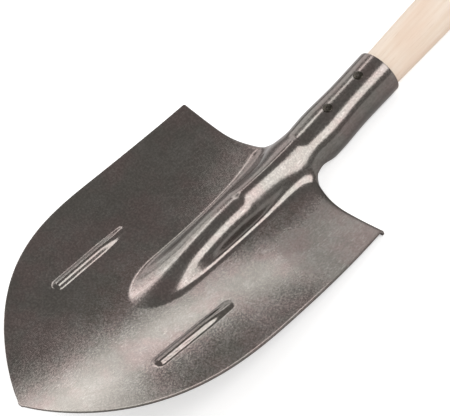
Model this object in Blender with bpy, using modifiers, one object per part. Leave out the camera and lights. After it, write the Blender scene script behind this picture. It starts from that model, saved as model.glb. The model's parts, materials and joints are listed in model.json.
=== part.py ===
"""Garden spade: a pressed pointed blade with its rolled socket, a round birch handle and two screws.

Metres, +Z up. The pieces are drawn in the tool's own axes (X to the right, Y up the handle, Z out of the
digging face, origin at the middle of the shoulder) and hang on one empty, which lays the tool on its back:
it rests on the handle's end, on the socket's rim and on the step lip of its right shoulder.
"""

import math

import bmesh
import bpy
from mathutils import Matrix, Vector

# Blade
BLADE_LENGTH = 0.2757
SHOULDER_HALF_WIDTH = 0.105
WIDEST_HALF_WIDTH = 0.107
TIP_HALF_WIDTH = 0.0015
SHEET = 0.002
DISH_RADIUS_SHOULDER = 0.430
DISH_RADIUS_TIP = 0.393
TIP_RISE = 0.0309
# Hollow ridge down the middle
RIDGE_LENGTH = 0.161
RIDGE_HEIGHT = 0.0170
RIDGE_RISE = 0.105
RIDGE_NECK_DROP = 0.0027
RIDGE_HALF_WIDTH = 0.0230
RIDGE_NECK_WIDENING = 0.0075
RIDGE_NOSE_LENGTH = 0.040
RIDGE_STEEPEST, NOSE_STEEPEST = math.radians(66), math.radians(40)
# The sheet drawn up beside the ridge near the neck
SKIRT_HEIGHT = 0.0042
SKIRT_HALF_WIDTH = 0.085
SKIRT_LENGTH = 0.115
# Sharp bead along the crest, and the pressed rib on each wing
BEAD_HEIGHT = 0.0026
BEAD_HALF_WIDTH = 0.012
BEAD_ROUNDING = 0.005
BEAD_START, BEAD_END, BEAD_RUNOUT = -0.046, 0.029, 0.008
RIB_LOW, RIB_HIGH = (0.055, -0.185), (0.057, -0.117)
RIB_HALF_WIDTH = 0.0052
RIB_HEIGHT = 0.0030
RIB_STEEPEST = math.radians(52)
RIB_HIGH_END = 0.3
# Half width of the middle strip, which becomes the socket
STRIP_HALF_WIDTH = 0.0306
# Step lips: the shoulders' top edge, folded back for the foot
LIP_REACH = 0.005
LIP_DROP = 0.008
SHOULDER_FILLET_X = 0.068
# Neck and socket
NECK_Y = 0.024
NECK_BLEND = 0.036
SEAM_Y = 0.080
SEAM_HALF_ANGLE = math.radians(2.2)
RIM_Y = 0.1229
SOCKET_LIFT = math.radians(3.44)
SOCKET_AXIS_Z = -0.00225
SOCKET_RADIUS, RIM_RADIUS = 0.01975, 0.0202
NECK_FLARE = 0.0018
NECK_FLARE_Y, NECK_FLARE_SPREAD = 0.052, 0.022
# Handle
HANDLE_END_Y = 1.165
HANDLE_FOOT_Y = 0.047
HANDLE_FOOT_RADIUS, HANDLE_RIM_RADIUS, HANDLE_RADIUS = 0.0150, 0.0169, 0.0195
HANDLE_TAPER_TO_Y = 0.26
HANDLE_END_ROUND = 0.010
HANDLE_SIDES = 32
# Screws
SCREW_BELOW_RIM = {"screw_upper": 0.0215, "screw_lower": 0.0591}
SCREW_HEAD_RADIUS, SCREW_HEAD_HEIGHT = 0.0041, 0.0009
SCREW_SHANK_RADIUS, SCREW_LENGTH, SCREW_POINT = 0.0017, 0.024, 0.005
RECESS_HALF_WIDTH, RECESS_REACH, RECESS_DEPTH = 0.0005, 0.0019, 0.0009
WALL_HOLE_RADIUS, PILOT_RADIUS = 0.0023, 0.0021
GAP = 0.0003

# Mesh divisions: strip columns from the crest to the strip's side, wing columns out to the edge
STRIP_COLUMNS = 9
FILLET_COLUMNS, OUTER_COLUMNS = 7, 5
BAND_ROWS = 4

UP_THE_HANDLE = Vector((0, math.cos(SOCKET_LIFT), math.sin(SOCKET_LIFT)))
OUT_OF_FACE = Vector((0, -math.sin(SOCKET_LIFT), math.cos(SOCKET_LIFT)))


def clear_scene():
    for old in list(bpy.data.objects):
        bpy.data.objects.remove(old, do_unlink=True)


def mix(a, b, share):
    return a + (b - a) * share


def smooth(value):
    value = min(1.0, max(0.0, value))
    return value * value * (3 - 2 * value)


def spread(start, end, steps):
    """Stations from start towards end, end left out."""
    return [mix(start, end, i / steps) for i in range(steps)]


# ---- the sheet's front face ----


def half_width(y):
    """The blade's half width: nearly parallel sides, then an ogive to the tip."""
    share = min(1.0, max(0.0, -y / BLADE_LENGTH))
    ogive = max(0.0, (share - 0.34) / 0.66)
    width = WIDEST_HALF_WIDTH * (1 - ogive**2.95) ** 0.88
    shoulder = max(0.0, 1 - share / 0.3) ** 2
    return max(TIP_HALF_WIDTH, width - (WIDEST_HALF_WIDTH - SHOULDER_HALF_WIDTH) * shoulder)


def dish(x, y):
    """Hollow across, and rising towards the tip."""
    share = -y / BLADE_LENGTH
    radius = mix(DISH_RADIUS_SHOULDER, DISH_RADIUS_TIP, share)
    return x * x / (2 * radius) + TIP_RISE * (2.6 * share**2 - 1.6 * share**3)


def arched(x, height, foot, steepest, crest_share):
    """The height at x of a pressed arch: an arc over its crest, straight flanks, and a hollow arc along its foot."""
    x = abs(x)
    if height <= 0 or x >= foot:
        return 0.0
    slope = min(steepest, 1.96 * math.atan2(height, foot))
    arcs = (foot * math.sin(slope) - height * math.cos(slope)) / (1 - math.cos(slope))
    crest, toe = arcs * crest_share, arcs * (1 - crest_share)
    if x < crest * math.sin(slope):
        return height - crest + math.sqrt(crest * crest - x * x)
    if x > foot - toe * math.sin(slope):
        return toe - math.sqrt(toe * toe - (foot - x) ** 2)
    return height - crest * (1 - math.cos(slope)) - (x - crest * math.sin(slope)) * math.tan(slope)


def ridge(x, y):
    """The hollow ridge, which fades out to a rounded nose."""
    along = y + RIDGE_LENGTH
    if along <= 0:
        return 0.0
    rise = math.sin(math.pi / 2 * min(1.0, along / RIDGE_RISE)) ** 1.4
    drop = RIDGE_NECK_DROP * smooth((along - RIDGE_RISE) / (RIDGE_LENGTH - RIDGE_RISE))
    nose = 1 - min(1.0, along / RIDGE_NOSE_LENGTH)
    foot = RIDGE_HALF_WIDTH * math.sqrt(1 - nose * nose) + RIDGE_NECK_WIDENING * (along / RIDGE_LENGTH) ** 6
    steepest = mix(NOSE_STEEPEST, RIDGE_STEEPEST, smooth((along - 0.050) / 0.040))
    crest_share = mix(0.74, 0.58, smooth((along - 0.115) / (RIDGE_LENGTH - 0.115)))
    return arched(x, RIDGE_HEIGHT * rise - drop, foot, steepest, crest_share)


def skirt(x, y):
    fade = smooth(1 + min(0.0, y) / SKIRT_LENGTH)
    return SKIRT_HEIGHT * fade * (1 + math.cos(math.pi * min(1.0, abs(x) / SKIRT_HALF_WIDTH))) / 2


def rib(x, y):
    (x0, y0), (x1, y1) = RIB_LOW, RIB_HIGH
    run = (x1 - x0, y1 - y0)
    share = ((abs(x) - x0) * run[0] + (y - y0) * run[1]) / (run[0] ** 2 + run[1] ** 2)
    share = min(1.0, max(0.0, share))
    distance = math.hypot(abs(x) - mix(x0, x1, share), y - mix(y0, y1, share))
    height = RIB_HEIGHT * mix(RIB_HIGH_END, 1.0, smooth((1 - share) / 0.4))
    return arched(distance, height, RIB_HALF_WIDTH, RIB_STEEPEST, 0.7)


def bead(x, y):
    """A sharp crest with hollow sides."""
    fade = smooth((y - BEAD_START) / BEAD_RUNOUT) * smooth((BEAD_END - y) / BEAD_RUNOUT)
    across = (math.hypot(x, BEAD_ROUNDING) - BEAD_ROUNDING) / BEAD_HALF_WIDTH
    return BEAD_HEIGHT * fade * max(0.0, 1 - across) ** 2


def pressed(x, y):
    return dish(x, y) + skirt(x, y) + ridge(x, y)


def front(x, y):
    return pressed(x, y) + rib(x, y) + bead(x, y)


def strip_x(across, y):
    """Columns from the crest (0) to the strip's side (1), closer together towards the tip."""
    return STRIP_HALF_WIDTH * across * min(1.0, half_width(y) / 0.1)


def axis_z(y):
    return SOCKET_AXIS_Z + y * math.tan(SOCKET_LIFT)


def socket_edge_angle(y):
    """How far round the socket each side of the sheet reaches: a quarter turn at the neck, closed above."""
    return mix(math.pi / 2, math.pi - SEAM_HALF_ANGLE, smooth((y - NECK_Y) / (SEAM_Y - NECK_Y)))


def strip_point(across, y):
    """The middle strip: the ridge on the blade, which turns into the rolled socket above the shoulder."""
    if y <= 0:
        x = strip_x(across, y)
        return Vector((x, y, front(x, y)))
    turn = across * socket_edge_angle(y)
    radius = mix(SOCKET_RADIUS, RIM_RADIUS, smooth((y - SEAM_Y) / (RIM_Y - SEAM_Y)))
    flare = NECK_FLARE * math.exp(-(((y - NECK_FLARE_Y) / NECK_FLARE_SPREAD) ** 2))
    ridge_x = STRIP_HALF_WIDTH * across
    rolled = smooth(y / NECK_BLEND)
    x = mix(ridge_x, (radius + flare) * math.sin(turn), rolled)
    z = mix(pressed(ridge_x, y), axis_z(y) + radius * math.cos(turn), rolled)
    z += bead(x, y) if turn < math.pi / 2 else 0.0
    squared = smooth((y - NECK_BLEND) / (RIM_Y - NECK_BLEND))
    return Vector((x, y - (z - axis_z(y)) * math.tan(SOCKET_LIFT) * squared, z))


def wing_columns():
    """(fillet angle, x at the shoulder) of each wing column, from the ridge's foot out to the edge."""
    reach = SHOULDER_FILLET_X - STRIP_HALF_WIDTH
    inner = []
    for share in spread(1.0, 0.0, FILLET_COLUMNS):
        angle = share * math.pi / 2
        inner.append((angle, SHOULDER_FILLET_X - reach * (math.sin(angle) + share) / 2))
    outer = spread(SHOULDER_FILLET_X, SHOULDER_HALF_WIDTH, OUTER_COLUMNS) + [SHOULDER_HALF_WIDTH]
    return inner + [(0.0, x) for x in outer]


def lip_point(angle, x, share):
    """The wing above the shoulder line: folded back as the step, and swept up into the neck at its inner end."""
    corner = strip_point(1.0, NECK_Y)
    below = strip_point(1.0, NECK_Y - 0.0005)
    into_neck = smooth((math.degrees(angle) - 40) / 50)
    start = Vector((x, 0, front(x, 0)))
    end_x = x if angle == 0 else SHOULDER_FILLET_X - (SHOULDER_FILLET_X - corner.x) * math.sin(angle)
    end_y = LIP_REACH + (NECK_Y - LIP_REACH) * (1 - math.cos(angle))
    end = Vector((end_x, end_y, mix(front(end_x, 0) - LIP_DROP, corner.z, into_neck)))
    leave = Vector((0, mix(0.75, 1 / 3, into_neck) * end_y, 0))
    along_neck = (corner - below) / 0.0005 * (end_y / 3)
    arrive = Vector((0, 0, -0.6 * LIP_DROP)).lerp(along_neck, into_neck)
    points = (start, start + leave, end - arrive, end)
    weights = ((1 - share) ** 3, 3 * share * (1 - share) ** 2, 3 * share**2 * (1 - share), share**3)
    return sum((p * w for p, w in zip(points, weights)), Vector())


def wing_point(angle, at_shoulder, y):
    if y > 0:
        return lip_point(angle, at_shoulder, y / NECK_Y)
    share = (at_shoulder - STRIP_HALF_WIDTH) / (SHOULDER_HALF_WIDTH - STRIP_HALF_WIDTH)
    x = mix(strip_x(1.0, y), half_width(y), share)
    return Vector((x, y, front(x, y)))


def sheet_rows():
    blade = spread(-BLADE_LENGTH, -0.262, 3) + spread(-0.262, -0.196, 5) + spread(-0.196, -0.104, 15)
    blade += spread(-0.104, 0.0, 7)
    blade += spread(0.0, NECK_Y, BAND_ROWS)
    return blade + spread(NECK_Y, SEAM_Y, 8) + spread(SEAM_Y, RIM_Y, 3) + [RIM_Y]


def sheet_mesh():
    """One grid of quads, cut away beside the socket, with each vertex moved to its place on the front face."""
    wing, rows = wing_columns(), sheet_rows()
    half = STRIP_COLUMNS + len(wing) - 1
    mesh = bpy.data.meshes.new("blade")
    bm = bmesh.new()
    bmesh.ops.create_grid(bm, x_segments=2 * half, y_segments=len(rows) - 1, size=1)
    places = {}
    for vert in bm.verts:
        column = round(vert.co.x * half)
        places[vert] = (column, round((vert.co.y + 1) / 2 * (len(rows) - 1)))
    beside = [
        face
        for face in bm.faces
        if max(abs(places[v][0]) for v in face.verts) > STRIP_COLUMNS
        and max(rows[places[v][1]] for v in face.verts) > NECK_Y + 1e-6
    ]
    for vert, (column, row) in places.items():
        side, y = abs(column), rows[row]
        if side <= STRIP_COLUMNS or y > NECK_Y + 1e-6:
            point = strip_point(min(side / STRIP_COLUMNS, 1.0), y)
        else:
            point = wing_point(*wing[side - STRIP_COLUMNS], y)
        vert.co = (math.copysign(point.x, column) if column else 0.0, point.y, point.z)
    bmesh.ops.delete(bm, geom=beside, context="FACES")
    bmesh.ops.recalc_face_normals(bm, faces=bm.faces)
    if sum(face.normal.z for face in bm.faces) < 0:
        bmesh.ops.reverse_faces(bm, faces=bm.faces)
    bm.to_mesh(mesh)
    bm.free()
    mesh.shade_smooth()
    return mesh


# ---- materials and objects ----


def finish(name, colour, roughness, metallic):
    material = bpy.data.materials.new(name)
    material.use_nodes = True
    shader = material.node_tree.nodes["Principled BSDF"]
    shader.inputs["Base Color"].default_value = (*colour, 1)
    shader.inputs["Roughness"].default_value = roughness
    shader.inputs["Metallic"].default_value = metallic
    return material


def collection(name, hidden=False):
    made = bpy.data.collections.new(name)
    bpy.context.scene.collection.children.link(made)
    made.hide_render = hidden
    return made


def place(name, mesh, into, lay, material=None, matrix=None):
    made = bpy.data.objects.new(name, mesh)
    into.objects.link(made)
    made.parent = lay
    if matrix:
        made.matrix_local = matrix
    if material:
        mesh.materials.append(material)
    return made


def turned(name, profile, steps, into, lay, material=None, matrix=None):
    """A profile of (radius, height) points at +X, spun about Z."""
    mesh = bpy.data.meshes.new(name)
    bm = bmesh.new()
    verts = [bm.verts.new((radius, 0, height)) for radius, height in profile]
    for first, second in zip(verts, verts[1:]):
        bm.edges.new((first, second))
    bm.to_mesh(mesh)
    bm.free()
    made = place(name, mesh, into, lay, material, matrix)
    spin = made.modifiers.new("Turn", "SCREW")
    spin.steps = spin.render_steps = steps
    spin.use_merge_vertices = True
    spin.merge_threshold = 0.00001
    return made


def cutter(name, mesh_maker, into, lay, matrix):
    mesh = bpy.data.meshes.new(name)
    bm = bmesh.new()
    mesh_maker(bm)
    bm.to_mesh(mesh)
    bm.free()
    made = place(name, mesh, into, lay, matrix=matrix)
    made.hide_render = True
    made.display_type = "WIRE"
    return made


def cut(target, tool):
    boolean = target.modifiers.new("Cut " + tool.name, "BOOLEAN")
    boolean.operation = "DIFFERENCE"
    boolean.object = tool


def axis_frame(y):
    """On the socket's axis at y: local Z up the handle, local Y out of the digging face's back."""
    turn = Matrix((Vector((1, 0, 0)), -OUT_OF_FACE, UP_THE_HANDLE)).transposed().to_4x4()
    return Matrix.Translation((0, y, axis_z(y))) @ turn


def up_the_axis(y):
    """How far above the rim, along the socket's axis, the axis passes y."""
    return (y - RIM_Y) / math.cos(SOCKET_LIFT)


def screw_frame(below_rim):
    """On the socket's front line: local Z straight out of the wall."""
    seat = Vector((0, RIM_Y, axis_z(RIM_Y))) - UP_THE_HANDLE * below_rim + OUT_OF_FACE * SOCKET_RADIUS
    turn = Matrix((Vector((1, 0, 0)), UP_THE_HANDLE, OUT_OF_FACE)).transposed().to_4x4()
    return Matrix.Translation(seat) @ turn


def socket_radius_at(below_rim):
    y = RIM_Y - below_rim * math.cos(SOCKET_LIFT)
    return mix(SOCKET_RADIUS, RIM_RADIUS, smooth((y - SEAM_Y) / (RIM_Y - SEAM_Y)))


def rod(radius, bottom, top):
    def make(bm):
        bmesh.ops.create_cone(
            bm, cap_ends=True, segments=16, radius1=radius, radius2=radius, depth=top - bottom,
            matrix=Matrix.Translation((0, 0, (top + bottom) / 2)),
        )
    return make


def slot(bm):
    """One bar of the cross recess, standing through the head's top."""
    size = Matrix.Diagonal((2 * RECESS_REACH, 2 * RECESS_HALF_WIDTH, 2 * RECESS_DEPTH, 1))
    bmesh.ops.create_cube(bm, size=1, matrix=size)


# ---- the pieces ----


def make_blade(parts, cutters, lay):
    steel = finish("blackened_steel", (0.19, 0.18, 0.175), 0.38, 0.9)
    blade = place("blade", sheet_mesh(), parts, lay, steel)
    wall = blade.modifiers.new("Sheet", "SOLIDIFY")
    wall.thickness = SHEET
    wall.offset = -1
    wall.use_even_offset = True
    for name, below_rim in SCREW_BELOW_RIM.items():
        hole = rod(WALL_HOLE_RADIUS, -0.006, 0.004)
        cut(blade, cutter("hole_" + name, hole, cutters, lay, screw_frame(below_rim)))


def make_handle(parts, cutters, lay):
    """Whittled to the socket at its foot, round and straight above, with a rounded end cut flat in the middle."""
    birch = finish("birch", (0.72, 0.52, 0.34), 0.55, 0.0)
    top, foot = up_the_axis(HANDLE_END_Y), up_the_axis(HANDLE_FOOT_Y)
    turns = [math.radians(angle) for angle in (0, 30, 60, 90)]
    flat = HANDLE_RADIUS - HANDLE_END_ROUND
    profile = [(0, top)]
    profile += [
        (flat + HANDLE_END_ROUND * math.sin(a), top - HANDLE_END_ROUND * (1 - math.cos(a))) for a in turns
    ]
    profile += [(HANDLE_RADIUS, up_the_axis(HANDLE_TAPER_TO_Y)), (HANDLE_RIM_RADIUS, 0.0)]
    profile += [(HANDLE_FOOT_RADIUS, foot + 0.002), (HANDLE_FOOT_RADIUS - 0.002, foot), (0, foot)]
    handle = turned("handle", profile, HANDLE_SIDES, parts, lay, birch, axis_frame(RIM_Y))
    for name, below_rim in SCREW_BELOW_RIM.items():
        pilot = rod(PILOT_RADIUS, -SCREW_LENGTH - GAP, 0.004)
        cut(handle, cutter("pilot_" + name, pilot, cutters, lay, screw_frame(below_rim)))


def make_screws(parts, cutters, lay):
    zinc = finish("dark_zinc", (0.16, 0.15, 0.14), 0.42, 0.9)
    for name, below_rim in SCREW_BELOW_RIM.items():
        seat = socket_radius_at(below_rim) - SOCKET_RADIUS + GAP
        top = seat + SCREW_HEAD_HEIGHT
        profile = [(0, top), (0.6 * SCREW_HEAD_RADIUS, top - 0.0001), (0.9 * SCREW_HEAD_RADIUS, top - 0.0004)]
        profile += [(SCREW_HEAD_RADIUS, seat + 0.0004), (SCREW_HEAD_RADIUS, seat), (SCREW_SHANK_RADIUS, seat)]
        profile += [(SCREW_SHANK_RADIUS, seat - SCREW_LENGTH + SCREW_POINT), (0, seat - SCREW_LENGTH)]
        frame = screw_frame(below_rim)
        screw = turned(name, profile, 16, parts, lay, zinc, frame)
        for turn in (0, 90):
            across = frame @ Matrix.Translation((0, 0, top)) @ Matrix.Rotation(math.radians(turn), 4, "Z")
            cut(screw, cutter(f"recess_{turn}_{name}", slot, cutters, lay, across))


# ---- how the tool lies ----


def resting_turn():
    """The turn that lays the handle's end, the socket's rim and the right step lip on one level plane."""
    rim = Vector((0, RIM_Y, axis_z(RIM_Y)))
    end = Vector((0, HANDLE_END_Y, axis_z(HANDLE_END_Y))) - UP_THE_HANDLE * HANDLE_END_ROUND
    lean = math.atan2(HANDLE_RADIUS - RIM_RADIUS, (end - rim).length)
    corner = lip_point(0.0, SHOULDER_HALF_WIDTH, 1.0) - rim
    right, out = corner.x, corner.dot(OUT_OF_FACE)
    fall = (-RIM_RADIUS - corner.dot(UP_THE_HANDLE) * math.tan(lean)) / math.hypot(right, out)
    roll = math.atan2(right, out) - math.acos(fall)
    sideways = Vector((math.sin(roll), 0, 0)) + OUT_OF_FACE * math.cos(roll)
    up = (sideways * math.cos(lean) + UP_THE_HANDLE * math.sin(lean)).normalized()
    ahead = (UP_THE_HANDLE - up * UP_THE_HANDLE.dot(up)).normalized()
    return Matrix((ahead.cross(up), ahead, up)).to_4x4()


def settle(lay, parts):
    """Turns the tool to its rest and slides it so that its box stands centred on the origin."""
    lay.matrix_world = resting_turn()
    bpy.context.view_layer.update()
    graph = bpy.context.evaluated_depsgraph_get()
    points = []
    for piece in parts.objects:
        solid = piece.evaluated_get(graph)
        points += [solid.matrix_world @ vert.co for vert in solid.data.vertices]
    low = [min(point[i] for point in points) for i in range(3)]
    high = [max(point[i] for point in points) for i in range(3)]
    shift = Vector((-(low[0] + high[0]) / 2, -(low[1] + high[1]) / 2, -low[2]))
    lay.matrix_world = Matrix.Translation(shift) @ lay.matrix_world


def main():
    clear_scene()
    parts = collection("garden_spade")
    cutters = collection("cutters", hidden=True)
    lay = bpy.data.objects.new("lay_of_the_tool", None)
    bpy.context.scene.collection.objects.link(lay)
    make_blade(parts, cutters, lay)
    make_handle(parts, cutters, lay)
    make_screws(parts, cutters, lay)
    settle(lay, parts)


main()
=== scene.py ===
"""Looks of the garden spade: a finely shaped pressed steel blade and socket, a birch handle and two screws.

The shapes are drawn in the tool's own axes (X to the right, Y up the handle, Z out of the digging face,
origin at the middle of the shoulder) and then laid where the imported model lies.
"""

import json
import math

import bmesh
import bpy
from mathutils import Matrix, Vector

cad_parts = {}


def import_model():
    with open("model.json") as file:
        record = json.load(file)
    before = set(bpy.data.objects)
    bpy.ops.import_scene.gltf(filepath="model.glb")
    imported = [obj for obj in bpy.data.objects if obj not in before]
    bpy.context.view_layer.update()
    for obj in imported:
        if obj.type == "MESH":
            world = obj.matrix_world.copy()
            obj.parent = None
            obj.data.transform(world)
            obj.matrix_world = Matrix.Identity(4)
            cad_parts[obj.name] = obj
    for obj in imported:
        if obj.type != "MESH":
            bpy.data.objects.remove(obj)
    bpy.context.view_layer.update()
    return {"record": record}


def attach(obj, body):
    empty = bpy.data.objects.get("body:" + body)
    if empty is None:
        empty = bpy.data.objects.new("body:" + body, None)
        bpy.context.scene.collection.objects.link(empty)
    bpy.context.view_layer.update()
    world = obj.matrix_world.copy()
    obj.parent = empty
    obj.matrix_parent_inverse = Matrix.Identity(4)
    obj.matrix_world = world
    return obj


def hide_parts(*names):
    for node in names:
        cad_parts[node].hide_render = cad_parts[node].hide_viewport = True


# Blade
BLADE_LENGTH = 0.2757
SHOULDER_HALF_WIDTH = 0.105
WIDEST_HALF_WIDTH = 0.107
TIP_HALF_WIDTH = 0.0015
SHEET = 0.002
DISH_RADIUS_SHOULDER = 0.430
DISH_RADIUS_TIP = 0.393
TIP_RISE = 0.0309
# Hollow ridge down the middle
RIDGE_LENGTH = 0.161
RIDGE_HEIGHT = 0.0170
RIDGE_RISE, RIDGE_RISE_POWER = 0.105, 1.4
RIDGE_NECK_DROP = 0.0027
RIDGE_HALF_WIDTH = 0.0230
RIDGE_NECK_WIDENING, WIDENING_POWER = 0.0075, 6
RIDGE_NOSE_LENGTH = 0.040
RIDGE_STEEPEST, NOSE_STEEPEST = math.radians(66), math.radians(40)
NOSE_STEEPENS_FROM, NOSE_STEEPENS_OVER = 0.050, 0.040
CREST_SHARE, NECK_CREST_SHARE, NECK_CREST_FROM = 0.74, 0.58, 0.115
ARCH_LIMIT = 1.96
# The sheet drawn up beside the ridge near the neck
SKIRT_HEIGHT = 0.0042
SKIRT_HALF_WIDTH = 0.085
SKIRT_LENGTH = 0.115
# Bead along the crest, and the pressed rib on each wing
BEAD_HEIGHT = 0.0026
BEAD_HALF_WIDTH = 0.012
BEAD_ROUNDING = 0.005
BEAD_START, BEAD_END, BEAD_RUNOUT = -0.046, 0.029, 0.008
RIB_LOW, RIB_HIGH = (0.055, -0.185), (0.057, -0.117)
RIB_HALF_WIDTH = 0.0052
RIB_HEIGHT = 0.0030
RIB_STEEPEST = math.radians(52)
RIB_HIGH_END, RIB_TAPER = 0.3, 0.4
RIB_CREST_SHARE = 0.7
# Half width of the middle strip, which becomes the socket
STRIP_HALF_WIDTH = 0.0306
# Step lips: the shoulders' top edge, folded back for the foot
LIP_REACH = 0.005
LIP_DROP = 0.008
SHOULDER_FILLET_X = 0.068
# Neck and socket
NECK_Y = 0.024
NECK_BLEND = 0.036
SEAM_Y = 0.080
SEAM_HALF_ANGLE = math.radians(2.2)
RIM_Y = 0.1229
SOCKET_LIFT = math.radians(3.44)
SOCKET_AXIS_Z = -0.00225
SOCKET_RADIUS, RIM_RADIUS = 0.01975, 0.0202
NECK_FLARE = 0.0018
NECK_FLARE_Y, NECK_FLARE_SPREAD = 0.052, 0.022
# Handle
HANDLE_END_Y = 1.165
HANDLE_FOOT_Y = 0.047
HANDLE_FOOT_RADIUS, HANDLE_RIM_RADIUS, HANDLE_RADIUS = 0.0150, 0.0169, 0.0195
HANDLE_TAPER_TO_Y = 0.26
HANDLE_END_ROUND = 0.010
HANDLE_SIDES = 96
# Screws
SCREW_BELOW_RIM = {"screw_upper": 0.0215, "screw_lower": 0.0591}
SCREW_HEAD_RADIUS, SCREW_HEAD_HEIGHT = 0.0041, 0.0009
SCREW_SHANK_RADIUS, SCREW_NECK, SCREW_POINT_FROM, SCREW_LENGTH = 0.0017, 0.003, 0.020, 0.0245
SCREW_HEAD_UNDER = 0.0006
SCREW_SIDES = 48
RECESS_HALF_WIDTH, RECESS_REACH, RECESS_DEPTH = 0.0006, 0.0024, 0.0017
RECESS_TURN = 0.3

# Mesh divisions
STRIP_COLUMNS, FILLET_COLUMNS, OUTER_COLUMNS = 44, 40, 19
CREST_CROWDING = 1.25
FIRST_FILLET_COLUMN = 0.92
BAND_ROWS = 16
CUT_EDGE = 0.0003

UP_THE_HANDLE = Vector((0, math.cos(SOCKET_LIFT), math.sin(SOCKET_LIFT)))
OUT_OF_FACE = Vector((0, -math.sin(SOCKET_LIFT), math.cos(SOCKET_LIFT)))


def mix(a, b, share):
    return a + (b - a) * share


def smooth(value):
    value = min(1.0, max(0.0, value))
    return value * value * (3 - 2 * value)


def spread(start, end, steps):
    """Stations from start towards end, end left out."""
    return [mix(start, end, i / steps) for i in range(steps)]


# ---- the sheet's front face, in the tool's axes ----


def half_width(y):
    """The blade's half width: nearly parallel sides, then an ogive to the tip."""
    share = min(1.0, max(0.0, -y / BLADE_LENGTH))
    ogive = max(0.0, (share - 0.34) / 0.66)
    width = WIDEST_HALF_WIDTH * (1 - ogive**2.95) ** 0.88
    shoulder = max(0.0, 1 - share / 0.3) ** 2
    return max(TIP_HALF_WIDTH, width - (WIDEST_HALF_WIDTH - SHOULDER_HALF_WIDTH) * shoulder)


def dish(x, y):
    """Hollow across, and rising towards the tip."""
    share = -y / BLADE_LENGTH
    radius = mix(DISH_RADIUS_SHOULDER, DISH_RADIUS_TIP, share)
    return x * x / (2 * radius) + TIP_RISE * (2.6 * share**2 - 1.6 * share**3)


def arched(x, height, foot, steepest, crest_share):
    """The height at x of a pressed arch: an arc over its crest, straight flanks, hollow arcs at its foot."""
    x = abs(x)
    if height <= 0 or x >= foot:
        return 0.0
    slope = min(steepest, ARCH_LIMIT * math.atan2(height, foot))
    arcs = (foot * math.sin(slope) - height * math.cos(slope)) / (1 - math.cos(slope))
    crest, toe = arcs * crest_share, arcs * (1 - crest_share)
    if x < crest * math.sin(slope):
        return height - crest + math.sqrt(crest * crest - x * x)
    if x > foot - toe * math.sin(slope):
        return toe - math.sqrt(toe * toe - (foot - x) ** 2)
    return height - crest * (1 - math.cos(slope)) - (x - crest * math.sin(slope)) * math.tan(slope)


def ridge(x, y):
    """The hollow ridge, which fades out to a rounded nose."""
    along = y + RIDGE_LENGTH
    if along <= 0:
        return 0.0
    rise = math.sin(math.pi / 2 * min(1.0, along / RIDGE_RISE)) ** RIDGE_RISE_POWER
    drop = RIDGE_NECK_DROP * smooth((along - RIDGE_RISE) / (RIDGE_LENGTH - RIDGE_RISE))
    nose = 1 - min(1.0, along / RIDGE_NOSE_LENGTH)
    foot = RIDGE_HALF_WIDTH * math.sqrt(1 - nose * nose)
    foot += RIDGE_NECK_WIDENING * (along / RIDGE_LENGTH) ** WIDENING_POWER
    steepens = smooth((along - NOSE_STEEPENS_FROM) / NOSE_STEEPENS_OVER)
    steepest = mix(NOSE_STEEPEST, RIDGE_STEEPEST, steepens)
    near_neck = smooth((along - NECK_CREST_FROM) / (RIDGE_LENGTH - NECK_CREST_FROM))
    crest_share = mix(CREST_SHARE, NECK_CREST_SHARE, near_neck)
    return arched(x, RIDGE_HEIGHT * rise - drop, foot, steepest, crest_share)


def skirt(x, y):
    """The wide low rise on both sides of the ridge, which fades out down the blade."""
    fade = smooth(1 + min(0.0, y) / SKIRT_LENGTH)
    return SKIRT_HEIGHT * fade * (1 + math.cos(math.pi * min(1.0, abs(x) / SKIRT_HALF_WIDTH))) / 2


def rib(x, y):
    """A straight pressed rib on each wing, lower towards its upper end."""
    (x0, y0), (x1, y1) = RIB_LOW, RIB_HIGH
    run = (x1 - x0, y1 - y0)
    share = ((abs(x) - x0) * run[0] + (y - y0) * run[1]) / (run[0] ** 2 + run[1] ** 2)
    share = min(1.0, max(0.0, share))
    distance = math.hypot(abs(x) - mix(x0, x1, share), y - mix(y0, y1, share))
    height = RIB_HEIGHT * mix(RIB_HIGH_END, 1.0, smooth((1 - share) / RIB_TAPER))
    return arched(distance, height, RIB_HALF_WIDTH, RIB_STEEPEST, RIB_CREST_SHARE)


def bead(x, y):
    """A raised line along the crest, with hollow sides, which runs out at both ends."""
    fade = smooth((y - BEAD_START) / BEAD_RUNOUT) * smooth((BEAD_END - y) / BEAD_RUNOUT)
    across = (math.hypot(x, BEAD_ROUNDING) - BEAD_ROUNDING) / BEAD_HALF_WIDTH
    return BEAD_HEIGHT * fade * max(0.0, 1 - across) ** 2


def pressed(x, y):
    return dish(x, y) + skirt(x, y) + ridge(x, y)


def front(x, y):
    return pressed(x, y) + rib(x, y) + bead(x, y)


def strip_x(across, y):
    """Columns from the crest (0) to the strip's side (1), closer together towards the tip."""
    return STRIP_HALF_WIDTH * across * min(1.0, half_width(y) / 0.1)


def axis_z(y):
    return SOCKET_AXIS_Z + y * math.tan(SOCKET_LIFT)


def socket_edge_angle(y):
    """How far round the socket each side of the sheet reaches: a quarter turn at the neck, closed above."""
    return mix(math.pi / 2, math.pi - SEAM_HALF_ANGLE, smooth((y - NECK_Y) / (SEAM_Y - NECK_Y)))


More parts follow.
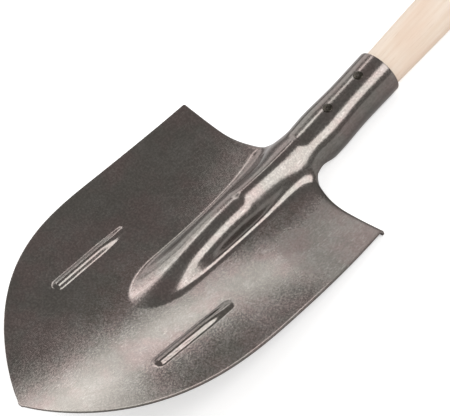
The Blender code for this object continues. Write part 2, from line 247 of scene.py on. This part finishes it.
def strip_point(across, y):
    """The middle strip: the ridge on the blade, which turns into the rolled socket above the shoulder."""
    if y <= 0:
        x = strip_x(across, y)
        return Vector((x, y, front(x, y)))
    turn = across * socket_edge_angle(y)
    radius = mix(SOCKET_RADIUS, RIM_RADIUS, smooth((y - SEAM_Y) / (RIM_Y - SEAM_Y)))
    flare = NECK_FLARE * math.exp(-(((y - NECK_FLARE_Y) / NECK_FLARE_SPREAD) ** 2))
    ridge_x = STRIP_HALF_WIDTH * across
    rolled = smooth(y / NECK_BLEND)
    x = mix(ridge_x, (radius + flare) * math.sin(turn), rolled)
    z = mix(pressed(ridge_x, y), axis_z(y) + radius * math.cos(turn), rolled)
    z += bead(x, y) if turn < math.pi / 2 else 0.0
    squared = smooth((y - NECK_BLEND) / (RIM_Y - NECK_BLEND))
    return Vector((x, y - (z - axis_z(y)) * math.tan(SOCKET_LIFT) * squared, z))


def wing_columns():
    """(fillet angle, x at the shoulder) of each wing column, from the ridge's foot out to the edge."""
    reach = SHOULDER_FILLET_X - STRIP_HALF_WIDTH
    inner = []
    for share in [1.0] + spread(FIRST_FILLET_COLUMN, 0.0, FILLET_COLUMNS - 1):
        angle = share * math.pi / 2
        inner.append((angle, SHOULDER_FILLET_X - reach * (math.sin(angle) + share) / 2))
    outer = spread(SHOULDER_FILLET_X, SHOULDER_HALF_WIDTH, OUTER_COLUMNS) + [SHOULDER_HALF_WIDTH]
    return inner + [(0.0, x) for x in outer]


def lip_point(angle, x, share):
    """The wing above the shoulder: folded back as the step, and swept up into the neck at its inner end."""
    corner = strip_point(1.0, NECK_Y)
    below = strip_point(1.0, NECK_Y - 0.0005)
    into_neck = smooth((math.degrees(angle) - 40) / 50)
    start = Vector((x, 0, front(x, 0)))
    end_x = x if angle == 0 else SHOULDER_FILLET_X - (SHOULDER_FILLET_X - corner.x) * math.sin(angle)
    end_y = LIP_REACH + (NECK_Y - LIP_REACH) * (1 - math.cos(angle))
    end = Vector((end_x, end_y, mix(front(end_x, 0) - LIP_DROP, corner.z, into_neck)))
    leave = Vector((0, mix(0.75, 1 / 3, into_neck) * end_y, 0))
    along_neck = (corner - below) / 0.0005 * (end_y / 3)
    arrive = Vector((0, 0, -0.6 * LIP_DROP)).lerp(along_neck, into_neck)
    points = (start, start + leave, end - arrive, end)
    rest = 1 - share
    weights = (rest**3, 3 * share * rest**2, 3 * share**2 * rest, share**3)
    return sum((p * w for p, w in zip(points, weights)), Vector())


def wing_point(angle, at_shoulder, y):
    if y > 0:
        return lip_point(angle, at_shoulder, y / NECK_Y)
    share = (at_shoulder - STRIP_HALF_WIDTH) / (SHOULDER_HALF_WIDTH - STRIP_HALF_WIDTH)
    x = mix(strip_x(1.0, y), half_width(y), share)
    return Vector((x, y, front(x, y)))


# ---- how the tool lies ----


def resting_turn():
    """The turn that lays the handle's end, the socket's rim and the right step lip on one level plane."""
    rim = Vector((0, RIM_Y, axis_z(RIM_Y)))
    end = Vector((0, HANDLE_END_Y, axis_z(HANDLE_END_Y))) - UP_THE_HANDLE * HANDLE_END_ROUND
    lean = math.atan2(HANDLE_RADIUS - RIM_RADIUS, (end - rim).length)
    corner = lip_point(0.0, SHOULDER_HALF_WIDTH, 1.0) - rim
    right, out = corner.x, corner.dot(OUT_OF_FACE)
    fall = (-RIM_RADIUS - corner.dot(UP_THE_HANDLE) * math.tan(lean)) / math.hypot(right, out)
    roll = math.atan2(right, out) - math.acos(fall)
    sideways = Vector((math.sin(roll), 0, 0)) + OUT_OF_FACE * math.cos(roll)
    up = (sideways * math.cos(lean) + UP_THE_HANDLE * math.sin(lean)).normalized()
    ahead = (UP_THE_HANDLE - up * UP_THE_HANDLE.dot(up)).normalized()
    return Matrix((ahead.cross(up), ahead, up)).to_4x4()


def lay_of_the_tool(record):
    """The tool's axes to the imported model's: the same turn, with the handle's end where its mount says."""
    turn = resting_turn()
    reach = (HANDLE_END_Y - RIM_Y) / math.cos(SOCKET_LIFT)
    end = Vector((0, RIM_Y, axis_z(RIM_Y))) + UP_THE_HANDLE * reach
    mount = next(m for m in record["mounts"] if m["name"] == "handle_end")
    return Matrix.Translation(Vector(mount["pos_m"]) - turn @ end) @ turn


def axis_frame(y):
    """On the socket's axis at y: local Z up the handle, local -Y out of the digging face."""
    turn = Matrix((Vector((1, 0, 0)), -OUT_OF_FACE, UP_THE_HANDLE)).transposed().to_4x4()
    return Matrix.Translation((0, y, axis_z(y))) @ turn


def screw_frame(below_rim):
    """On the socket's front line: local Z straight out of the wall."""
    seat = Vector((0, RIM_Y, axis_z(RIM_Y))) - UP_THE_HANDLE * below_rim + OUT_OF_FACE * SOCKET_RADIUS
    turn = Matrix((Vector((1, 0, 0)), UP_THE_HANDLE, OUT_OF_FACE)).transposed().to_4x4()
    return Matrix.Translation(seat) @ turn


# ---- pieces ----


def to_object(bm, name, material, lay):
    """A piece at the origin, unturned, with its place in its mesh."""
    bm.transform(lay)
    mesh = bpy.data.meshes.new(name)
    bm.to_mesh(mesh)
    bm.free()
    mesh.shade_smooth()
    mesh.materials.append(material)
    made = bpy.data.objects.new(name, mesh)
    bpy.context.scene.collection.objects.link(made)
    return made


def sheet_rows():
    rows = spread(-BLADE_LENGTH, -0.262, 10) + spread(-0.262, -0.196, 26) + spread(-0.196, -0.104, 80)
    rows += spread(-0.104, -0.050, 20) + spread(-0.050, 0.0, 38) + spread(0.0, NECK_Y, BAND_ROWS)
    return rows + spread(NECK_Y, SEAM_Y, 35) + spread(SEAM_Y, RIM_Y, 20) + [RIM_Y]


def give_thickness(blade):
    """The sheet's wall behind its front face, with its cut edges eased."""
    wall = blade.modifiers.new("Sheet", "SOLIDIFY")
    wall.thickness = SHEET
    wall.offset = -1
    wall.use_even_offset = True
    edge = blade.modifiers.new("Cut edge", "BEVEL")
    edge.width = CUT_EDGE
    edge.segments = 2
    edge.limit_method = "ANGLE"
    edge.angle_limit = math.radians(60)


def make_blade(lay, material):
    """One grid of quads, cut away beside the socket, with each vertex moved onto the front face."""
    strip = [(k / STRIP_COLUMNS) ** CREST_CROWDING for k in range(STRIP_COLUMNS)]
    wing, rows = wing_columns(), sheet_rows()
    half = len(strip) + len(wing) - 1
    bm = bmesh.new()
    bmesh.ops.create_grid(bm, x_segments=2 * half, y_segments=len(rows) - 1, size=1)
    places = {}
    for vert in bm.verts:
        column = round(vert.co.x * half)
        places[vert] = (column, round((vert.co.y + 1) / 2 * (len(rows) - 1)))
    beside = [
        face
        for face in bm.faces
        if max(abs(places[v][0]) for v in face.verts) > STRIP_COLUMNS
        and max(rows[places[v][1]] for v in face.verts) > NECK_Y + 1e-6
    ]
    for vert, (column, row) in places.items():
        side, y = abs(column), rows[row]
        if side <= STRIP_COLUMNS or y > NECK_Y + 1e-6:
            point = strip_point(strip[side] if side < STRIP_COLUMNS else 1.0, y)
        else:
            point = wing_point(*wing[side - STRIP_COLUMNS], y)
        vert.co = (math.copysign(point.x, column) if column else 0.0, point.y, point.z)
    bmesh.ops.delete(bm, geom=beside, context="FACES")
    bmesh.ops.recalc_face_normals(bm, faces=bm.faces)
    if sum(face.normal.z for face in bm.faces) < 0:
        bmesh.ops.reverse_faces(bm, faces=bm.faces)
    blade = to_object(bm, "blade_sheet", material, lay)
    give_thickness(blade)
    return blade


def turned(profile, steps):
    """A profile of (radius, height) points spun about Z into a closed shape."""
    bm = bmesh.new()
    verts = [bm.verts.new((radius, 0, height)) for radius, height in profile]
    edges = [bm.edges.new(pair) for pair in zip(verts, verts[1:])]
    about = {"axis": (0, 0, 1), "cent": (0, 0, 0), "angle": math.tau}
    bmesh.ops.spin(bm, geom=verts + edges, steps=steps, use_merge=True, **about)
    bmesh.ops.remove_doubles(bm, verts=bm.verts, dist=1e-6)
    bmesh.ops.recalc_face_normals(bm, faces=bm.faces)
    return bm


def make_handle(lay, material):
    """A round pole, whittled to the socket at its foot, with a rounded far end."""
    top = (HANDLE_END_Y - RIM_Y) / math.cos(SOCKET_LIFT)
    foot = (HANDLE_FOOT_Y - RIM_Y) / math.cos(SOCKET_LIFT)
    taper_top = (HANDLE_TAPER_TO_Y - RIM_Y) / math.cos(SOCKET_LIFT)
    flat = HANDLE_RADIUS - HANDLE_END_ROUND
    profile = [(0, top), (flat * 0.5, top)]
    for angle in (math.radians(a) for a in range(0, 91, 9)):
        out, down = HANDLE_END_ROUND * math.sin(angle), HANDLE_END_ROUND * (1 - math.cos(angle))
        profile.append((flat + out, top - down))
    profile += [(HANDLE_RADIUS, z) for z in spread(top - 0.05, taper_top, 30)]
    for share in spread(0.0, 1.0, 24):
        radius = mix(HANDLE_RADIUS, HANDLE_RIM_RADIUS, smooth(share * 0.5) * 2)
        profile.append((radius, taper_top * (1 - share)))
    profile += [(HANDLE_RIM_RADIUS, 0.0), (HANDLE_FOOT_RADIUS, foot + 0.002)]
    profile += [(HANDLE_FOOT_RADIUS - 0.002, foot), (0, foot)]
    return to_object(turned(profile, HANDLE_SIDES), "birch_handle", material, lay @ axis_frame(RIM_Y))


def recess_bar(turn):
    """One bar of the cross recess, with its ends drawn in towards the bottom."""
    bm = bmesh.new()
    bmesh.ops.create_cube(bm, size=1)
    for vert in bm.verts:
        drawn_in = 0.45 if vert.co.z < 0 else 1.0
        vert.co.x *= 2 * RECESS_REACH * drawn_in
        vert.co.y *= 2 * RECESS_HALF_WIDTH * mix(drawn_in, 1.0, 0.6)
        vert.co.z *= 2 * RECESS_DEPTH
    bm.transform(Matrix.Translation((0, 0, SCREW_HEAD_HEIGHT)) @ Matrix.Rotation(turn, 4, "Z"))
    return bm


def make_screw(name, below_rim, lay, material):
    """A low domed head with a cross recess, on a shank with a point."""
    top = SCREW_HEAD_HEIGHT
    profile = [(0, top)]
    for share in (0.25, 0.5, 0.7, 0.85, 0.95, 1.0):
        profile.append((SCREW_HEAD_RADIUS * share, top * (1 - 0.75 * share**4)))
    profile += [(SCREW_HEAD_RADIUS * 0.9, -SCREW_HEAD_UNDER), (SCREW_SHANK_RADIUS, -SCREW_NECK)]
    profile += [(SCREW_SHANK_RADIUS, -SCREW_POINT_FROM), (0, -SCREW_LENGTH)]
    screw = to_object(turned(profile, SCREW_SIDES), name + "_head", material, Matrix.Identity(4))
    bars = []
    for turn in (RECESS_TURN, RECESS_TURN + math.pi / 2):
        bar = to_object(recess_bar(turn), "recess_bar", material, Matrix.Identity(4))
        cut = screw.modifiers.new("Recess", "BOOLEAN")
        cut.operation = "DIFFERENCE"
        cut.object = bar
        bars.append(bar)
    bpy.context.view_layer.update()
    shaped = bpy.data.meshes.new_from_object(screw.evaluated_get(bpy.context.evaluated_depsgraph_get()))
    screw.modifiers.clear()
    for bar in bars:
        bpy.data.objects.remove(bar, do_unlink=True)
    shaped.transform(lay @ screw_frame(below_rim))
    screw.data = shaped
    return screw


# ---- finishes ----


class Nodes:
    """Short calls for building one node tree."""

    def __init__(self, tree):
        self.tree = tree

    def add(self, kind, settings=(), **inputs):
        made = self.tree.nodes.new(kind)
        for name, value in dict(settings).items():
            setattr(made, name, value)
        for name, value in inputs.items():
            self.feed(made.inputs[name.replace("_", " ")], value)
        return made

    def feed(self, socket, value):
        if isinstance(value, bpy.types.NodeSocket):
            self.tree.links.new(value, socket)
        else:
            socket.default_value = value

    def sum(self, operation, *values):
        made = self.add("ShaderNodeMath", {"operation": operation})
        for socket, value in zip(made.inputs, values):
            self.feed(socket, value)
        return made.outputs[0]

    def ramp(self, value, low, high, to_low=0.0, to_high=1.0):
        made = self.add("ShaderNodeMapRange", {"interpolation_type": "SMOOTHSTEP"}, Value=value)
        for name, number in {"From Min": low, "From Max": high, "To Min": to_low, "To Max": to_high}.items():
            self.feed(made.inputs[name], number)
        return made.outputs[0]

    def blend(self, share, a, b, kind="MIX"):
        made = self.add("ShaderNodeMix", {"data_type": "RGBA", "blend_type": kind})
        self.feed(made.inputs["Factor"], share)
        self.feed(made.inputs["A"], (*a, 1) if isinstance(a, tuple) else a)
        self.feed(made.inputs["B"], (*b, 1) if isinstance(b, tuple) else b)
        return made.outputs["Result"]

    def noise(self, vector, scale, detail=2.0, roughness=0.5):
        made = self.add("ShaderNodeTexNoise", Vector=vector, Scale=scale, Detail=detail, Roughness=roughness)
        return made.outputs["Fac"]


def make_group(name, inputs, outputs, build):
    group = bpy.data.node_groups.new(name, "ShaderNodeTree")
    for label, kind, default in inputs:
        socket = group.interface.new_socket(label, in_out="INPUT", socket_type=kind)
        if default is not None:
            socket.default_value = default
    for label, kind in outputs:
        group.interface.new_socket(label, in_out="OUTPUT", socket_type=kind)
    nodes = Nodes(group)
    inside = nodes.add("NodeGroupInput")
    results = build(nodes, inside.outputs)
    out = nodes.add("NodeGroupOutput")
    for label, value in results.items():
        nodes.feed(out.inputs[label], value)
    return group


def speckle_group():
    """Fine bright and dark flecks of a rolled or sanded surface."""

    def build(n, given):
        grain = n.noise(given["Vector"], given["Scale"], 3.0, 0.65)
        return {"Fleck": n.ramp(grain, 0.35, 0.72, -1.0, 1.0)}

    inputs = [("Vector", "NodeSocketVector", None), ("Scale", "NodeSocketFloat", 900.0)]
    return make_group("fine_speckle", inputs, [("Fleck", "NodeSocketFloat")], build)


def scratch_group():
    """Short hair scratches in three directions."""

    def build(n, given):
        total = 0.0
        for turn in (0.35, 1.25, 2.3):
            along = {"Rotation": (0, 0, turn), "Scale": (1, 0.06, 1)}
            laid = n.add("ShaderNodeMapping", Vector=given["Vector"], **along)
            lines = n.noise(laid.outputs[0], given["Scale"], 1.0, 0.5)
            fine = n.ramp(lines, 0.66, 0.74)
            total = fine if total == 0.0 else n.sum("MAXIMUM", total, fine)
        patch = n.ramp(n.noise(given["Vector"], 45.0, 2.0), 0.42, 0.62, 0.25, 1.0)
        return {"Scratch": n.sum("MULTIPLY", total, patch)}

    inputs = [("Vector", "NodeSocketVector", None), ("Scale", "NodeSocketFloat", 1400.0)]
    return make_group("hair_scratches", inputs, [("Scratch", "NodeSocketFloat")], build)


def place_group(nodes, group, **inputs):
    made = nodes.add("ShaderNodeGroup", {"node_tree": group})
    for name, value in inputs.items():
        nodes.feed(made.inputs[name], value)
    return made.outputs


def new_finish(name):
    material = bpy.data.materials.new(name)
    material.use_nodes = True
    nodes = Nodes(material.node_tree)
    return material, nodes, material.node_tree.nodes["Principled BSDF"]


def blade_steel(speckle, scratches, shoulder):
    """Dark mill-scaled sheet with a soft shine: brown and olive clouds, fine flecks and hair scratches.

    The wing is rubbed duller and more scratched at its right shoulder; shoulder is that line's world Y.
    """
    brown, olive = (0.184, 0.152, 0.143), (0.163, 0.152, 0.139)
    grey, bare = (0.205, 0.196, 0.184), (0.36, 0.35, 0.33)
    material, n, shader = new_finish("mill_scale_steel")
    here = n.add("ShaderNodeTexCoord").outputs["Object"]
    clouds = n.ramp(n.noise(here, 26.0, 4.0, 0.62), 0.38, 0.62)
    colour = n.blend(clouds, brown, olive)
    worn = n.ramp(n.noise(here, 60.0, 3.0, 0.6), 0.46, 0.66)
    colour = n.blend(n.sum("MULTIPLY", worn, 0.35), colour, grey)
    fleck = place_group(n, speckle, Vector=here, Scale=620.0)["Fleck"]
    shade = n.sum("MULTIPLY_ADD", fleck, 0.16, 1.0)
    tone = n.add("ShaderNodeCombineColor", Red=shade, Green=shade, Blue=shade).outputs[0]
    colour = n.blend(1.0, colour, tone, "MULTIPLY")
    scratch = place_group(n, scratches, Vector=here, Scale=1400.0)["Scratch"]
    axes = n.add("ShaderNodeSeparateXYZ", Vector=here).outputs
    wobble = n.sum("MULTIPLY_ADD", n.noise(here, 35.0, 3.0, 0.6), 0.04, -0.02)
    right = n.ramp(n.sum("ADD", axes["X"], wobble), 0.025, 0.055)
    above = n.ramp(n.sum("ADD", axes["Y"], wobble), shoulder - 0.075, shoulder - 0.035)
    below_neck = n.ramp(axes["Y"], shoulder + 0.005, shoulder + 0.015, 1.0, 0.0)
    rubbed = n.sum("MULTIPLY", n.sum("MULTIPLY", right, above), below_neck)
    scraped = n.sum("MULTIPLY", scratch, n.sum("MULTIPLY_ADD", rubbed, 0.3, 0.3))
    colour = n.blend(scraped, colour, bare)
    n.feed(shader.inputs["Base Color"], colour)
    roughness = n.ramp(n.noise(here, 14.0, 3.0, 0.6), 0.35, 0.65, 0.16, 0.22)
    roughness = n.sum("MULTIPLY_ADD", rubbed, 0.22, roughness)
    n.feed(shader.inputs["Roughness"], n.sum("MULTIPLY_ADD", fleck, 0.03, roughness))
    shader.inputs["Metallic"].default_value = 1.0
    bump = n.add("ShaderNodeBump", Strength=0.09, Distance=0.00006, Height=fleck)
    n.feed(shader.inputs["Normal"], bump.outputs[0])
    return material


def birch():
    """Pale birch: long soft streaks, short fine dashes, and rosy clouds."""
    material, n, shader = new_finish("pale_birch")
    here = n.add("ShaderNodeTexCoord").outputs["Object"]

    def drawn_out(stretch):
        return n.add("ShaderNodeMapping", Vector=here, Scale=(1, stretch, 1)).outputs[0]

    cream, pale = (0.80, 0.655, 0.53), (0.86, 0.735, 0.625)
    rosy, brown = (0.79, 0.60, 0.47), (0.55, 0.37, 0.25)
    streaks = n.ramp(n.noise(drawn_out(0.04), 260.0, 4.0, 0.55), 0.3, 0.7)
    clouds = n.ramp(n.noise(drawn_out(0.3), 55.0, 3.0), 0.36, 0.64)
    dashes = n.ramp(n.noise(drawn_out(0.03), 1500.0), 0.62, 0.72)
    colour = n.blend(streaks, cream, pale)
    colour = n.blend(n.sum("MULTIPLY", clouds, 0.6), colour, rosy)
    colour = n.blend(n.sum("MULTIPLY", dashes, 0.28), colour, brown)
    n.feed(shader.inputs["Base Color"], colour)
    n.feed(shader.inputs["Roughness"], n.ramp(streaks, 0.0, 1.0, 0.5, 0.62))
    bump = n.add("ShaderNodeBump", Strength=0.2, Distance=0.0002, Height=streaks)
    n.feed(shader.inputs["Normal"], bump.outputs[0])
    return material


def screw_steel(speckle):
    """Dark olive-brown plated steel."""
    material, n, shader = new_finish("dark_screw_steel")
    here = n.add("ShaderNodeTexCoord").outputs["Object"]
    fleck = place_group(n, speckle, Vector=here, Scale=1500.0)["Fleck"]
    dark, light = (0.030, 0.026, 0.021), (0.085, 0.077, 0.064)
    colour = n.blend(n.ramp(fleck, -1.0, 1.0), dark, light)
    n.feed(shader.inputs["Base Color"], colour)
    n.feed(shader.inputs["Roughness"], n.sum("MULTIPLY_ADD", fleck, 0.06, 0.33))
    shader.inputs["Metallic"].default_value = 1.0
    return material


# ---- studio ----


# The camera in the tool's axes: azimuth, elevation and roll in degrees
CAMERA_TURNS = (57.635, 53.276, -17.912)
CAMERA_AIM, CAMERA_DISTANCE = (-0.01469, -0.04758, 0), 1.3869
CAMERA_LENS = 142.06
FLOOR_HALF_SIDE, FLOOR_GLOW = 30, 0.5
ROOM_COLOUR, ROOM_BRIGHTNESS = (1, 0.98, 0.96, 1), 0.45


def make_camera(lay):
    """Seen from in front and to the right of the digging face, the handle running up out of the view."""
    azimuth, elevation, roll = (math.radians(angle) for angle in CAMERA_TURNS)
    flat = math.cos(elevation)
    back = Vector((math.sin(azimuth) * flat, -math.cos(azimuth) * flat, math.sin(elevation)))
    level = Vector((0, 0, 1)).cross(back).normalized()
    up = back.cross(level)
    right = level * math.cos(roll) + up * math.sin(roll)
    up = up * math.cos(roll) - level * math.sin(roll)
    stand = Matrix((right, up, back)).transposed().to_4x4()
    stand.translation = Vector(CAMERA_AIM) + back * CAMERA_DISTANCE
    data = bpy.data.cameras.new("camera")
    data.sensor_width = 36
    data.lens = CAMERA_LENS
    data.clip_start, data.clip_end = 0.05, 50
    camera = bpy.data.objects.new("camera", data)
    bpy.context.scene.collection.objects.link(camera)
    camera.matrix_world = lay @ stand
    bpy.context.scene.camera = camera


def make_floor():
    """A matt pale floor, lifted to near white where the camera sees it directly."""
    material, n, shader = new_finish("pale_floor")
    shader.inputs["Base Color"].default_value = (0.9, 0.9, 0.9, 1)
    shader.inputs["Roughness"].default_value = 0.9
    shader.inputs["Specular IOR Level"].default_value = 0.0
    shader.inputs["Emission Color"].default_value = (1, 1, 1, 1)
    seen = n.add("ShaderNodeLightPath").outputs["Is Camera Ray"]
    n.feed(shader.inputs["Emission Strength"], n.sum("MULTIPLY", seen, FLOOR_GLOW))
    bm = bmesh.new()
    bmesh.ops.create_grid(bm, x_segments=1, y_segments=1, size=FLOOR_HALF_SIDE)
    floor = to_object(bm, "floor", material, Matrix.Identity(4))


# Soft boxes in the tool's axes: lean from straight above (right is plus) and slant along the handle, in
# degrees, then distance, size across and along, turn about their own normal in degrees, brightness
SOFTBOXES = {
    "softbox_right": (34.0, 20.0, 1.6, 0.80, 1.3, 0.0, 4.0),
    "softbox_left": (-38.0, 10.0, 1.6, 0.20, 2.0, 22.0, 3.7),
    "softbox_front_left": (-49.0, 3.0, 1.6, 0.60, 0.80, 0.0, 2.2),
    "softbox_low_left": (-76.0, 15.0, 1.6, 0.70, 2.4, 0.0, 1.2),
}


def make_softboxes(lay):
    """Long panels on both sides of the tool, in a pale grey room."""
    for name, (lean, slant, distance, across, along, turn, brightness) in SOFTBOXES.items():
        lean, slant = math.radians(lean), math.radians(slant)
        level = math.cos(slant)
        back = Vector((math.sin(lean) * level, math.sin(slant), math.cos(lean) * level))
        light = bpy.data.lights.new(name, "AREA")
        light.shape = "RECTANGLE"
        light.size, light.size_y = across, along
        light.energy = brightness * across * along * math.pi
        box = bpy.data.objects.new(name, light)
        bpy.context.scene.collection.objects.link(box)
        side = Vector((0, 1, 0)).cross(back).normalized()
        stand = Matrix((side, back.cross(side), back)).transposed().to_4x4()
        stand.translation = back * distance
        box.matrix_world = lay @ stand @ Matrix.Rotation(math.radians(turn), 4, "Z")
    world = bpy.data.worlds.new("studio")
    bpy.context.scene.world = world
    world.use_nodes = True
    room = world.node_tree.nodes["Background"]
    room.inputs["Color"].default_value = ROOM_COLOUR
    room.inputs["Strength"].default_value = ROOM_BRIGHTNESS


def main():
    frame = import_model()
    bpy.context.scene.view_settings.view_transform = "Standard"
    lay = lay_of_the_tool(frame["record"])
    make_camera(lay)
    speckle, scratches = speckle_group(), scratch_group()
    steel, wood, zinc = blade_steel(speckle, scratches, lay.translation.y), birch(), screw_steel(speckle)
    blade = make_blade(lay, steel)
    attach(blade, "root")
    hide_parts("blade")
    handle = make_handle(lay, wood)
    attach(handle, "root")
    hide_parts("handle")
    for name, below_rim in SCREW_BELOW_RIM.items():
        screw = make_screw(name, below_rim, lay, zinc)
        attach(screw, "root")
        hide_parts(name)
    make_floor()
    make_softboxes(lay)


main()
